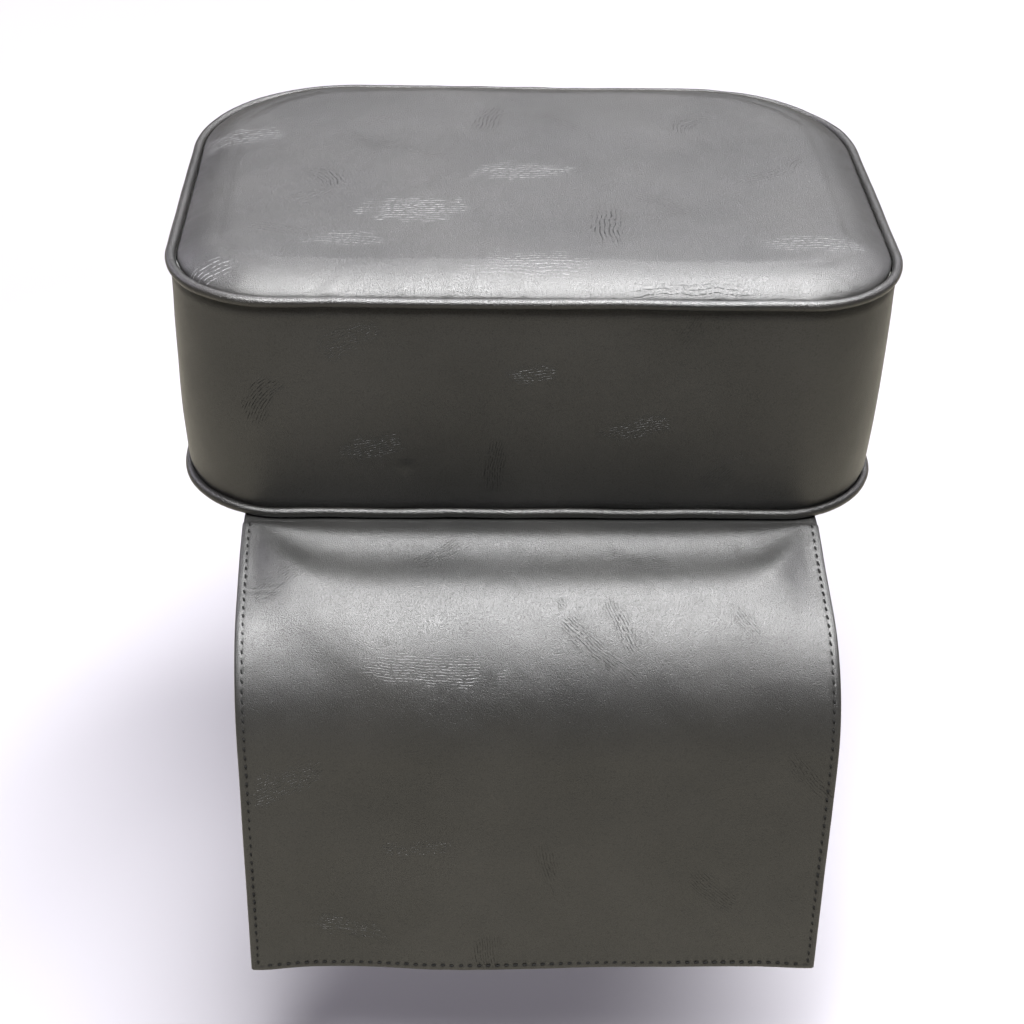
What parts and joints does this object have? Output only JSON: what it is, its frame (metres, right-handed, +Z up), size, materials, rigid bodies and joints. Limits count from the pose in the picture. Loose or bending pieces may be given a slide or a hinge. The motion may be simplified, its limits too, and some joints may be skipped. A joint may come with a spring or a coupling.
{
  "type": "booster seat cushion",
  "caption": "Raised foam booster cushion in black leatherette with piped seams, a crowned top, a zipped rear band and a hemmed apron that hangs over the front of a chair seat.",
  "frame": {"origin": "centre of the flat face that the cushion rests on", "axes": "+X to the right of someone who faces the front of the cushion, +Y to the rear with the apron at -Y, +Z up"},
  "size_m": [0.4, 0.4136, 0.3696],
  "materials": {
    "leatherette": "satin, fine pebble grain",
    "piping_cord": "foamed plastic cord",
    "thread": "bonded polyester",
    "zip_tape": "woven tape",
    "zip_coil": "nylon coil",
    "zip_metal": "gunmetal",
    "firm_foam": "open-cell foam",
    "soft_foam": "open-cell foam",
    "wadding": "polyester wadding"
  },
  "bodies": {
    "cushion": {"top_panel": "leatherette", "front_band": "leatherette", "rear_band_upper": "leatherette", "rear_band_lower": "leatherette", "bottom_panel": "leatherette", "top_piping_cover": "leatherette", "top_piping_cord": "piping_cord", "bottom_piping_cover": "leatherette", "bottom_piping_cord": "piping_cord", "top_seam_thread": "thread", "bottom_seam_thread": "thread", "band_seam_thread": "thread", "zip_tape_upper": "zip_tape", "zip_tape_lower": "zip_tape", "zip_coil_upper": "zip_coil", "zip_coil_lower": "zip_coil", "zip_stops": "zip_metal", "zip_thread": "thread", "foam_block": "firm_foam", "foam_topper": "soft_foam", "wadding_wrap": "wadding", "apron_root": "leatherette"},
    "slider": {"zip_slider": "zip_metal"},
    "pull": {"zip_pull": "zip_metal"},
    "upper_apron": {"apron_upper": "leatherette", "apron_thread_upper": "thread"},
    "lower_apron": {"apron_drop": "leatherette", "apron_thread_drop": "thread"}
  },
  "joints": [
    {"name": "apron_swing", "type": "hinge", "parent": "cushion", "child": "upper_apron", "pos_m": [0, -0.1416, 0.0012], "axis": [-1, 0, 0], "range_deg": [-60, 85]},
    {"name": "apron_bend", "type": "hinge", "parent": "upper_apron", "child": "lower_apron", "pos_m": [0, -0.23521, -0.05522], "axis": [-1, 0, 0], "range_deg": [-45, 60]},
    {"name": "zip_slide", "type": "slide", "parent": "cushion", "child": "slider", "axis": [-1, 0, 0], "range_m": [0, 0.1816]},
    {"name": "pull_flip", "type": "hinge", "parent": "slider", "child": "pull", "pos_m": [0.0908, 0.13975, 0.072], "axis": [0, 0, -1], "range_deg": [0, 170]}
  ]
}
